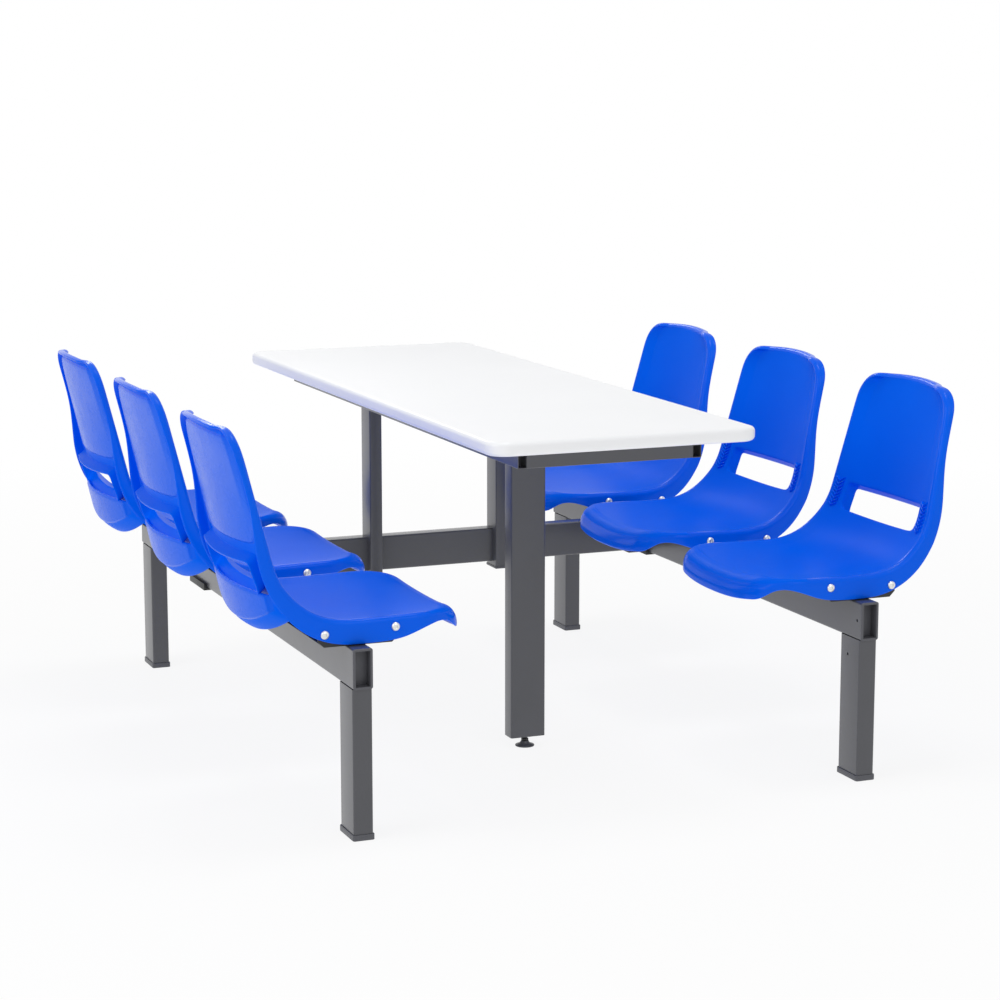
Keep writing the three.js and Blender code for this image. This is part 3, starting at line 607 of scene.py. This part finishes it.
def face_point(distance, across, inset=0.0):
    """A point of the sitting side, with the edge line's direction and normal there."""
    (s, z), (ds, dz) = edge_line(distance)
    tangent = Vector((ds, 0, dz))
    normal = Vector((dz, 0, -ds))
    point = Vector((s, (face_half_width(distance) - inset) * across, z))
    share = hollow(distance, across)
    point -= normal * face_dish(distance) * share
    swell = step_between(distance, BEND_FROM, SLOT_LEVEL, 0, SLOT_SWELL)
    swell *= step_between(distance, SLOT_LEVEL, LINE_LENGTH - TOP_CORNER, 1, 0)
    point -= normal * swell * max(0.0, 1 - (across / WING_START) ** 2)
    point -= tangent * step_between(distance, 0, FRONT_CORNER, FRONT_BOW, 0) * share
    crown = TOP_CROWN * (1 - across ** 2) - TOP_CROWN_FALL
    point += tangent * step_between(distance, BEND_TO, LINE_LENGTH, 0, 1) * crown
    return point, tangent, normal


def distance_at(height):
    """The distance along the edge line at which the slot's side reaches a height."""
    low, high = BEND_FROM, LINE_LENGTH
    for _ in range(40):
        middle = (low + high) / 2
        if face_point(middle, SLOT_SHARE)[0].z < height:
            low = middle
        else:
            high = middle
    return low


SLOT_FROM = distance_at(SLOT_LOW)
SLOT_TO = distance_at(SLOT_HIGH)


def seat_rows():
    """The cage's rows: distance along the edge line, corner inset and corner angle."""
    rows = []
    corner_steps = 5
    for step in range(corner_steps + 1):
        angle = step / corner_steps * math.pi / 2
        rows.append((FRONT_CORNER * (1 - math.cos(angle)), FRONT_CORNER * (1 - math.sin(angle)), angle))
    spans = ((FRONT_CORNER, BEND_FROM, 4), (BEND_FROM, SLOT_FROM - 10, 5), (SLOT_FROM - 10, SLOT_FROM, 1),
             (SLOT_FROM, SLOT_TO, 4), (SLOT_TO, SLOT_TO + 10, 1),
             (SLOT_TO + 10, SLOT_TO + PANEL_DROP, 1), (SLOT_TO + PANEL_DROP, LINE_LENGTH - TOP_CORNER, 5))
    for start, end, steps in spans:
        for step in range(1, steps + 1):
            rows.append((start + (end - start) * step / steps, 0.0, math.pi / 2))
    for step in range(corner_steps - 1, -1, -1):
        angle = step / corner_steps * math.pi / 2
        rows.append((LINE_LENGTH - TOP_CORNER * (1 - math.cos(angle)),
                     TOP_CORNER * (1 - math.sin(angle)), angle))
    return rows


def corner_slides():
    """Slides of the cage's points, up in millimetres and inward in shares, that turn corners round."""
    low, panel = round(SLOT_FROM), round(SLOT_TO + PANEL_DROP)
    return {(low, SLOT_SHARE): (4.0, 0.02), (panel, PANEL_SHARE): (20.0, 0.06),
            (panel, WING_RUN): (9.0, 0.0), (panel, WING_START): (5.0, 0.0),
            (panel, SLOT_SHARE): (2.5, 0.0)}


def seat_cage():
    """The shell's cage: no operator gives its double curve, so it is laid out from its measures.

    Returns the cage, its polygons with the grained finish and those behind which a panel lies.
    """
    rows = seat_rows()
    shares = [-c for c in reversed(COLUMNS[1:])] + list(COLUMNS)
    width = len(shares)
    points, directions, faces, panel = [], [], [], []
    slides = corner_slides()
    for distance, inset, angle in rows:
        for share in shares:
            up, inward = slides.get((round(distance), abs(share)), (0.0, 0.0))
            place = share - math.copysign(inward, share)
            point, tangent, normal = face_point(distance + up, place, inset)
            points.append(point)
            directions.append((distance, angle, tangent, normal))
    for row in range(len(rows) - 1):
        for column in range(width - 1):
            in_slot_row = SLOT_FROM - 0.01 < rows[row][0] and rows[row + 1][0] < SLOT_TO + 0.01
            if in_slot_row and max(abs(shares[column]), abs(shares[column + 1])) <= SLOT_SHARE:
                continue
            reach = max(abs(shares[column]), abs(shares[column + 1]))
            above = rows[row][0] > SLOT_TO + PANEL_DROP - 0.01
            if above and row < len(rows) - PANEL_TOP_ROWS and reach <= PANEL_SHARE:
                panel.append(len(faces))
            here = row * width + column
            faces.append((here, here + 1, here + width + 1, here + width))
    inner_faces = len(faces)
    last = len(rows) - 1
    loop = [(0, column) for column in range(width)]
    loop += [(row, width - 1) for row in range(1, last + 1)]
    loop += [(last, column) for column in range(width - 2, -1, -1)]
    loop += [(row, 0) for row in range(last - 1, 0, -1)]
    starts = [row * width + column for row, column in loop]
    ring = starts
    turns = [math.radians(a) for a in (14, 32, 52, 72, 90)]
    grained = set(range(inner_faces))
    for turn, fall in [(t, 0.0) for t in turns] + [(turns[-1], 0.5), (turns[-1], 1.0)]:
        following = []
        for (row, column), start in zip(loop, starts):
            distance, angle, tangent, normal = directions[start]
            is_front = row < len(rows) / 2
            outward = tangent * (-math.cos(angle) if is_front else math.cos(angle))
            if column in (0, width - 1):
                outward.y = math.sin(angle) * (1 if column else -1)
            radius = EDGE_RADIUS
            if is_front:
                radius = step_between(angle, 0, math.pi / 3, FRONT_EDGE_RADIUS, EDGE_RADIUS)
            depth = max(edge_depth(distance), radius + 1)
            drop = radius * (1 - math.cos(turn)) + (depth - radius) * fall
            flare = 0.0 if is_front else TOP_FLARE * fall * math.sin(2 * angle)
            points.append(points[start] + outward * (radius * math.sin(turn) + flare) - normal * drop)
            following.append(len(points) - 1)
        for place in range(len(ring)):
            after = (place + 1) % len(ring)
            if loop[place][0] < FRONT_ROWS and turn <= turns[2]:
                grained.add(len(faces))
            faces.append((ring[after], ring[place], following[place], following[after]))
        ring = following
    return start_mesh("seat_shell", [p * MM for p in points], faces), grained, panel


def on_slot_edge(start, end):
    """A test for the edges round the slot's mouth."""
    inside = []
    for point in (start, end):
        s, w, z = (value / MM for value in point)
        in_width = abs(w) < (SLOT_SHARE + 0.03) * face_half_width(SLOT_FROM)
        inside.append(s < -120 and SLOT_LOW - 15 < z < SLOT_HIGH + 15 and in_width)
    return all(inside)


def seat_shell():
    shell, grained, panel = seat_cage()
    cage_faces = len(shell.data.polygons)
    # The slot's mouth is the only open edge that isn't the outer rim: it is turned back into a rim.
    activate(shell)
    bpy.ops.object.mode_set(mode="EDIT")
    bpy.ops.mesh.select_mode(type="EDGE")
    bpy.ops.mesh.select_all(action="DESELECT")
    bpy.ops.mesh.select_non_manifold(extend=False, use_wire=False, use_boundary=True,
                                     use_multi_face=False, use_non_contiguous=False, use_verts=False)
    bpy.ops.object.mode_set(mode="OBJECT")
    mesh = shell.data
    for edge in mesh.edges:
        if edge.select:
            edge.select = on_slot_edge(*(mesh.vertices[i].co for i in edge.vertices))
    mouth = sum(edge.select for edge in mesh.edges)
    bpy.ops.object.mode_set(mode="EDIT")
    for reach in SLOT_ROLL:
        bpy.ops.mesh.extrude_edges_move(TRANSFORM_OT_translate={"value": (-reach * MM, 0, 0)})
    bpy.ops.object.mode_set(mode="OBJECT")
    # The walls of the rim fall towards the rear, the lower one most.
    rolled = len(shell.data.vertices) - len(SLOT_ROLL) * mouth
    middle = (SLOT_LOW + SLOT_HIGH) / 2
    for vertex in shell.data.vertices[rolled:]:
        ring = (vertex.index - rolled) // mouth
        low = min(max((middle - vertex.co.z / MM) / (middle - SLOT_LOW), 0.0), 1.0)
        vertex.co.z -= SLOT_FALL[ring] * (0.6 + 0.4 * low ** 2) * MM
    sheet = len(shell.data.polygons)
    apply_modifier(shell, "SOLIDIFY", thickness=SHELL_THICKNESS * MM, offset=-1, use_even_offset=True)
    # The rear of the sheet follows its face in the list, in the same order.
    shell.data.materials.clear()
    for material in SEAT_MATERIALS:
        shell.data.materials.append(material)
    for face in shell.data.polygons:
        place = face.index if face.index < sheet else face.index - sheet
        if face.index >= sheet and place in panel:
            face.material_index = 2
        else:
            face.material_index = 0 if place in grained or cage_faces <= place < sheet else 1
    # The rear panel of the back stands a little proud inside the flanges.
    places = {index + sheet for index in panel}
    pick_places(shell, places)
    bpy.ops.mesh.inset(thickness=2 * MM, depth=3 * MM)
    bpy.ops.mesh.inset(thickness=3 * MM, depth=0.5 * MM)
    bpy.ops.object.mode_set(mode="OBJECT")
    apply_modifier(shell, "SUBSURF", levels=2, render_levels=2)
    return shell


def apron():
    """The lower panel behind the bend, with a border that turns in below it."""
    deselect_all()
    bpy.ops.mesh.primitive_grid_add(x_subdivisions=24, y_subdivisions=11, size=2)
    panel = bpy.context.object
    panel.name = panel.data.name = "seat_apron"

    def crease_at(w):
        return APRON_CREASE + APRON_CREASE_RISE * (w / APRON_HALF) ** 2

    for vertex in panel.data.vertices:
        u, v = vertex.co.x, (1 - vertex.co.y) / 2
        side = max(0.0, (abs(u) - APRON_RIM_SHARE) / (1 - APRON_RIM_SHARE))
        low = max(0.0, (v - APRON_RIM_ROW) / (1 - APRON_RIM_ROW))
        inner = min(abs(u), APRON_RIM_SHARE) / APRON_RIM_SHARE
        w = math.copysign(inner * APRON_HALF + APRON_BORDER * side, u)
        z = APRON_TOP - (APRON_TOP - crease_at(w)) * min(v / APRON_RIM_ROW, 1.0) - APRON_BORDER * low
        s = APRON_REAR + APRON_BOW * (w / APRON_HALF) ** 2 + (APRON_LEAN_FROM - z) * APRON_LEAN
        s += APRON_TUCK * max(low, side) ** 1.3
        vertex.co = Vector((s, w, z)) * MM
    apply_modifier(panel, "SOLIDIFY", thickness=4 * MM, offset=-1, use_even_offset=True)

    # The panel inside the border stands proud of it.
    def inside(centre, normal):
        s, w, z = (value / MM for value in centre)
        return normal.x < -0.5 and abs(w) < APRON_HALF and z > crease_at(w)

    pick(panel, "FACE", inside)
    bpy.ops.mesh.inset(thickness=2.5 * MM, depth=3.5 * MM)
    bpy.ops.mesh.inset(thickness=3.0 * MM, depth=0.8 * MM)
    bpy.ops.object.mode_set(mode="OBJECT")
    apply_modifier(panel, "SUBSURF", levels=2, render_levels=2)
    for material in SEAT_MATERIALS:
        panel.data.materials.append(material)
    for face in panel.data.polygons:
        s, w, z = (value / MM for value in face.center)
        face.material_index = 2 if abs(w) < APRON_HALF and z > crease_at(w) else 0
    return panel


def grip_ribs():
    """Small chevron ribs moulded on the wings beside the slot."""
    points, faces = [], []

    def lifted(distance, across, height):
        point, tangent, _ = face_point(distance, across)
        beside, _, _ = face_point(distance, across + 0.01)
        normal = (beside - point).cross(tangent).normalized()
        return point + normal * height

    for sign in (-1, 1):
        for rib in range(RIB_COUNT):
            level = SLOT_FROM + RIB_START + rib * RIB_PITCH
            base = len(points)
            for offset, drop in ((-RIB_ARM, 0.0), (0.0, -RIB_FALL), (RIB_ARM, 0.0)):
                across = sign * RIB_SHARE + offset / face_half_width(level)
                for spread, height in RIB_SECTION:
                    points.append(lifted(level + drop + spread, across, height) * MM)
            for part in range(2):
                a = base + part * 4
                for i in range(4):
                    j = (i + 1) % 4
                    faces.append((a + i, a + j, a + 4 + j, a + 4 + i))
            faces.append(tuple(base + i for i in (3, 2, 1, 0)))
            faces.append(tuple(base + 8 + i for i in range(4)))
    ribs = start_mesh("seat_ribs", points, faces)
    activate(ribs)
    bpy.ops.object.mode_set(mode="EDIT")
    bpy.ops.mesh.select_all(action="SELECT")
    bpy.ops.mesh.normals_make_consistent(inside=False)
    bpy.ops.object.mode_set(mode="OBJECT")
    apply_modifier(ribs, "BEVEL", width=0.5 * MM, segments=2, limit_method="ANGLE")
    for material in SEAT_MATERIALS:
        ribs.data.materials.append(material)
    for face in ribs.data.polygons:
        face.material_index = 1
    return ribs


def seat_place(side_sign, number):
    """Where a seat's own frame lies in the unit."""
    turn = Matrix.Rotation(math.pi if side_sign > 0 else 0, 4, "Z")
    place = Vector((side_sign * SEAT_REACH, (number - 2) * SEAT_PITCH, 0)) * MM
    return Matrix.Translation(place) @ turn


def build_seats():
    model = join_pieces(seat_shell(), apron(), grip_ribs())
    for side, sign in SIDES:
        for number in SEATS:
            node = f"{side}_seat_{number}"
            seat = copy_piece(model, "shell_" + node, seat_place(sign, number))
            settle(seat, SEAT_MATERIALS, "seat_plastic", node, angle=50)
    bpy.data.objects.remove(model)


# Seat brackets, bolts and saddles, with the bolts' places in the seat's frame in millimetres

BOLT_PLACES = ((-66.0, 406.0), (77.0, 411.0))
BOLT_FACE = 222.3
BOLT_SHANK = 13.5
STRIP_FACES = (212.6, 208.6)


def pressed_copy(name, node, width, matrix=None):
    """A node's solid with its edges rounded, as a press leaves them."""
    piece = copy_piece(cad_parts[node], name, matrix or Matrix.Identity(4))
    piece.parent = None
    activate(piece)
    bpy.ops.object.mode_set(mode="EDIT")
    bpy.ops.mesh.select_all(action="SELECT")
    bpy.ops.mesh.remove_doubles(threshold=0.01 * MM)
    bpy.ops.mesh.dissolve_limited(angle_limit=math.radians(1))
    bpy.ops.object.mode_set(mode="OBJECT")
    apply_modifier(piece, "BEVEL", width=width * MM, segments=3, limit_method="ANGLE",
                   angle_limit=math.radians(40))
    return piece


def button_bolt(centre, sign, reach):
    """A dome-head bolt with a hexagon socket, its axis along y."""
    head, height = 8.5, 2.0
    bolt = start_rod("button_bolt", head * MM, 0, height * MM, (0, 0), 24)
    pick(bolt, "FACE", lambda middle, normal: normal.z > 0.9)
    for inward, rise in ((0.8, 1.3), (1.2, 1.0), (1.6, 0.7), (1.4, 0.25)):
        bpy.ops.mesh.inset(thickness=inward * MM, depth=rise * MM)
    bpy.ops.mesh.inset(thickness=0.25 * MM, depth=-0.1 * MM)
    bpy.ops.mesh.inset(thickness=0.2 * MM, depth=-2.2 * MM)
    pick(bolt, "FACE", lambda middle, normal: normal.z < -0.9)
    bpy.ops.mesh.inset(thickness=(head - 4) * MM)
    bpy.ops.mesh.extrude_region_move(TRANSFORM_OT_translate={"value": (0, 0, -reach * MM)})
    bpy.ops.object.mode_set(mode="OBJECT")
    turn = Matrix.Rotation(-sign * math.pi / 2, 4, "X")
    bolt.data.transform(Matrix.Translation(centre) @ turn)
    return bolt


def build_brackets_and_bolts():
    for side, sign in SIDES:
        for number in SEATS:
            node = f"{side}_bracket_{number}"
            bracket = pressed_copy("tray_" + node, node, 1.2)
            settle(bracket, [BLACK_STEEL], "black_steel", node)
            seat_y = (number - 2) * SEAT_PITCH
            for end, way in ENDS:
                node = f"{side}_{end}_bolts_{number}"
                low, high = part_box(node)
                bolts = []
                for s, z in BOLT_PLACES:
                    centre = Vector((sign * (SEAT_REACH - s), seat_y + way * BOLT_FACE, z)) * MM
                    bolts.append(button_bolt(centre, way, BOLT_SHANK))
                sides = sorted((seat_y + way * face) * MM for face in STRIP_FACES)
                strip = start_block("nut_strip", (low[0], sides[0], low[2]), (high[0], sides[1], high[2]))
                pick(strip, "EDGE", along(1))
                bpy.ops.mesh.bevel(offset=3 * MM, segments=4, affect="EDGES")
                bpy.ops.object.mode_set(mode="OBJECT")
                pair = join_pieces(bolts[0], bolts[1], strip)
                pair.name = pair.data.name = "dome_" + node
                settle(pair, [ZINC], "zinc_steel", node)
        node = side + "_saddle"
        saddle = pressed_copy("channel_" + node, node, 1.5)
        settle(saddle, [BLACK_STEEL], "black_steel", node)


# Levelling foot: how far each step of the pad's turned face goes inward and up, in millimetres

FOOT_CENTRE = (0.0, -0.28)
PAD_STEPS = ((0.6, 0.6), (4.4, 1.2), (3.6, 1.8), (2.4, 2.4), (1.2, 2.6), (0.6, 0.8), (0.5, 0.2))


def build_levelling_foot():
    low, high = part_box("levelling_stem")
    centre = FOOT_CENTRE
    stem = start_rod("threaded_levelling_stem", 4.3 * MM, low[2], high[2], centre, 24)
    pick(stem, "EDGE", lambda a, b: abs(a[2] - high[2]) + abs(b[2] - high[2]) < 1e-5)
    bpy.ops.mesh.bevel(offset=1.2 * MM, segments=2, affect="EDGES")
    bpy.ops.object.mode_set(mode="OBJECT")
    # An M10 thread: one tooth's section, screwed up the rod at a pitch of 1.5 mm.
    pitch, turns = 1.5, 34
    tooth = start_mesh("thread", [Vector((4.2, 0, -0.62)) * MM, Vector((4.95, 0, -0.1)) * MM,
                                  Vector((4.95, 0, 0.1)) * MM, Vector((4.2, 0, 0.62)) * MM],
                       [(0, 1, 2, 3)])
    activate(tooth)
    bpy.ops.object.mode_set(mode="EDIT")
    bpy.ops.mesh.select_all(action="SELECT")
    bpy.ops.mesh.delete(type="ONLY_FACE")
    bpy.ops.object.mode_set(mode="OBJECT")
    apply_modifier(tooth, "SCREW", axis="Z", angle=math.tau, screw_offset=pitch * MM, iterations=turns,
                   steps=20, render_steps=20, use_merge_vertices=False, use_normal_calculate=True)
    tooth.data.transform(Matrix.Translation((centre[0], centre[1], 20 * MM)))
    foot = start_rod("stem_foot", 6.0 * MM, low[2], low[2] + 7 * MM, centre, 24)
    pick(foot, "EDGE", lambda a, b: abs(a[2] - b[2]) < 1e-6)
    bpy.ops.mesh.bevel(offset=1.2 * MM, segments=3, affect="EDGES")
    bpy.ops.object.mode_set(mode="OBJECT")
    nut = start_rod("lock_nut", 8.0 * MM, 12.3 * MM, 17.3 * MM, centre, 6)
    pick(nut, "EDGE", lambda a, b: abs(a[2] - b[2]) < 1e-6)
    bpy.ops.mesh.bevel(offset=0.7 * MM, segments=2, affect="EDGES")
    bpy.ops.object.mode_set(mode="OBJECT")
    stem = join_pieces(stem, tooth, foot, nut)
    settle(stem, [BLACK_STEEL], "black_steel", "levelling_stem", body=STEM, angle=40)

    pad = start_rod("turned_levelling_pad", 21 * MM, 0, 2.2 * MM, centre, 48)
    pick(pad, "FACE", lambda middle, normal: normal.z > 0.9)
    for inward, rise in PAD_STEPS:
        bpy.ops.mesh.inset(thickness=inward * MM, depth=rise * MM)
    bpy.ops.mesh.inset(thickness=1.3 * MM, depth=0.0)
    bpy.ops.mesh.inset(thickness=0.2 * MM, depth=-7.6 * MM)
    pick(pad, "EDGE", lambda a, b: abs(a[2]) + abs(b[2]) < 1e-6)
    bpy.ops.mesh.bevel(offset=0.8 * MM, segments=2, affect="EDGES")
    bpy.ops.object.mode_set(mode="OBJECT")
    settle(pad, [BLACK_PLASTIC], "black_plastic", "levelling_pad", body=PAD)

    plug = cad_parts["near_post_plug"]
    plug.data.materials.clear()
    plug.data.materials.append(BLACK_PLASTIC)


# Room: a white floor that keeps a soft shadow, and soft light from the left, the front, the back and above

def build_room():
    world = bpy.data.worlds.new("studio")
    bpy.context.scene.world = world
    world.use_nodes = True
    tree = world.node_tree
    tree.nodes.clear()
    seen = add_node(tree, "ShaderNodeLightPath")
    room = add_node(tree, "ShaderNodeBackground", None, {"Color": linear("#FFFFFF"), "Strength": 0.45})
    paper = add_node(tree, "ShaderNodeBackground", None, {"Color": linear("#FFFFFF"), "Strength": 1.0})
    either = add_node(tree, "ShaderNodeMath", {"operation": "MAXIMUM"},
                      {0: seen.outputs["Is Camera Ray"], 1: seen.outputs["Is Glossy Ray"]})
    mix = add_node(tree, "ShaderNodeMixShader", None,
                   {0: either.outputs[0], 1: room.outputs[0], 2: paper.outputs[0]})
    add_node(tree, "ShaderNodeOutputWorld", None, {"Surface": mix.outputs[0]})

    deselect_all()
    bpy.ops.mesh.primitive_plane_add(size=60, location=(0, 0, -0.0005))
    floor = bpy.context.object
    floor.name = "floor"
    material, tree, output = new_material("white_paper_floor")
    place = add_node(tree, "ShaderNodeTexCoord").outputs["Object"]
    reach = add_node(tree, "ShaderNodeVectorMath", {"operation": "LENGTH"}, {0: place})
    far = add_node(tree, "ShaderNodeMapRange", None,
                   {"Value": reach.outputs["Value"], "From Min": 1.2, "From Max": 4.0, "To Min": 0.88})
    matt = add_node(tree, "ShaderNodeBsdfDiffuse", None, {"Color": linear("#FBFBFB")})
    paper = add_node(tree, "ShaderNodeEmission", None, {"Color": linear("#FFFFFF"), "Strength": 1.0})
    mix = add_node(tree, "ShaderNodeMixShader", None,
                   {0: far.outputs["Result"], 1: matt.outputs[0], 2: paper.outputs[0]})
    tree.links.new(mix.outputs[0], output.inputs["Surface"])
    floor.data.materials.append(material)

    lamps = (("left_softbox", (-4.2, -1.2, 3.0), (0, 0, 0.5), 3.0, 60),
             ("back_softbox", (0.7, 5.6, 3.9), (0, 0, 0.5), 1.2, 30),
             ("front_softbox", (0.5, -5.0, 4.2), (0, 0, 0.5), 3.0, 45),
             ("top_softbox", (0.3, 0.0, 5.2), (0, 0, 0.5), 1.6, 60))
    for name, place, aim, size, power in lamps:
        data = bpy.data.lights.new(name, "AREA")
        data.size = size
        data.energy = power
        lamp = bpy.data.objects.new(name, data)
        lamp.location = place
        lamp.rotation_euler = (Vector(aim) - Vector(place)).to_track_quat("-Z", "Y").to_euler()
        bpy.context.scene.collection.objects.link(lamp)
    bpy.context.scene.view_settings.view_transform = "Standard"


build_tubes()
build_caps()
build_table_top()
build_seats()
build_brackets_and_bolts()
build_levelling_foot()
build_room()
